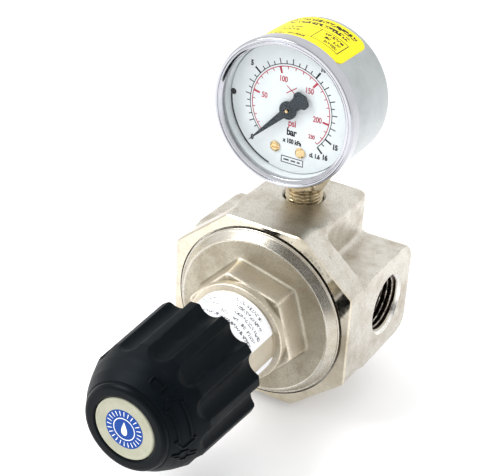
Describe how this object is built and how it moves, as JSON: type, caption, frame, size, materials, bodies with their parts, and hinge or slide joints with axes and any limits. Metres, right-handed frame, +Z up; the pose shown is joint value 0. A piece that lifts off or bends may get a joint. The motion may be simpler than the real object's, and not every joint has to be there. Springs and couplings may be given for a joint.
{
  "type": "pressure reducing valve",
  "caption": "Pressure reducing valve with in-line threaded ports, an octagonal flanged body, a spring bonnet with a fluted adjusting knob, and a round pressure gauge on top.",
  "frame": {"origin": "centre of the bounding box in plan, on the flat end of the lower gauge boss that the valve stands on", "axes": "+X towards the outlet port, -Y towards the knob, +Z up to the gauge"},
  "size_m": [0.0682, 0.125, 0.1316],
  "materials": {
    "nickel": "nickel-plated brass, satin",
    "brass": "turned brass",
    "polished_steel": "polished stainless steel",
    "steel": "turned steel",
    "spring_steel": "spring wire",
    "bronze": "drawn bronze tube",
    "mesh": "woven wire",
    "black_plastic": "moulded, fine grain",
    "cream_plastic": "smooth, printed",
    "dial_white": "painted white, printed",
    "slate": "dark painted",
    "rubber": "matte",
    "clear": "clear"
  },
  "bodies": {
    "valve": {"valve_body": "nickel", "bonnet": "nickel", "gauge_port_plug": "nickel", "gauge_plug_seal": "rubber", "seat_insert": "brass", "seat_insert_seal": "rubber", "strainer": "mesh", "slip_ring": "brass", "control_spring": "spring_steel", "poppet_spring": "spring_steel", "gauge_case": "polished_steel", "gauge_ring": "polished_steel", "gauge_window": "clear", "gauge_dial": "dial_white", "dial_screw_left": "brass", "dial_screw_right": "brass", "gauge_socket": "brass", "gauge_seal": "rubber", "movement_plate_rear": "brass", "movement_plate_front": "brass", "movement_pillar_upper": "brass", "movement_pillar_lower": "brass", "bourdon_tube": "bronze", "hairspring": "spring_steel"},
    "knob": {"adjusting_knob": "black_plastic", "knob_cap": "cream_plastic", "knob_screw": "steel", "adjusting_spindle": "brass", "spindle_clip": "spring_steel"},
    "spring_nut": {"spring_nut": "brass"},
    "stem": {"diaphragm": "rubber", "diaphragm_plate": "steel", "diaphragm_washer": "brass", "valve_stem": "brass", "stem_nut": "steel", "poppet_nut": "steel", "poppet_disc": "rubber", "poppet": "brass"},
    "sector": {"sector_gear": "brass"},
    "pointer": {"pinion_arbor": "steel", "gauge_pointer": "slate"},
    "tube_tip": {"tip_link": "steel", "tube_tip": "brass"}
  },
  "joints": [
    {"name": "knob_turn", "type": "hinge", "parent": "valve", "child": "knob", "pos_m": [0, 0.0145, 0.036], "axis": [0, 1, 0], "range_deg": [-900, 900]},
    {"name": "spring_nut_travel", "type": "slide", "parent": "valve", "child": "spring_nut", "axis": [0, 1, 0], "range_m": [-0.0038, 0.0038], "deforming": ["control_spring"]},
    {"name": "stem_travel", "type": "slide", "parent": "valve", "child": "stem", "axis": [0, -1, 0], "range_m": [0, 0.0015], "stiffness_N_per_m": 1000, "deforming": ["poppet_spring", "diaphragm"]},
    {"name": "sector_turn", "type": "hinge", "parent": "valve", "child": "sector", "pos_m": [-0.00901, 0.035, 0.09989], "axis": [0, -1, 0], "range_deg": [0, 60], "stiffness_Nm_per_rad": 0.02},
    {"name": "pointer_turn", "type": "hinge", "parent": "valve", "child": "pointer", "pos_m": [0, 0.035, 0.1062], "axis": [0, 1, 0], "range_deg": [0, 270], "deforming": ["hairspring"]},
    {"name": "tube_tip_travel", "type": "slide", "parent": "valve", "child": "tube_tip", "axis": [0, 0, -1], "range_m": [0, 0.00325], "deforming": ["bourdon_tube"]}
  ],
  "couplings": [
    {"joint": "spring_nut_travel", "follows": "knob_turn", "m_per_rad": 0.00023873},
    {"joint": "pointer_turn", "follows": "sector_turn", "ratio": 4.5},
    {"joint": "tube_tip_travel", "follows": "sector_turn", "m_per_rad": 0.0030558}
  ]
}
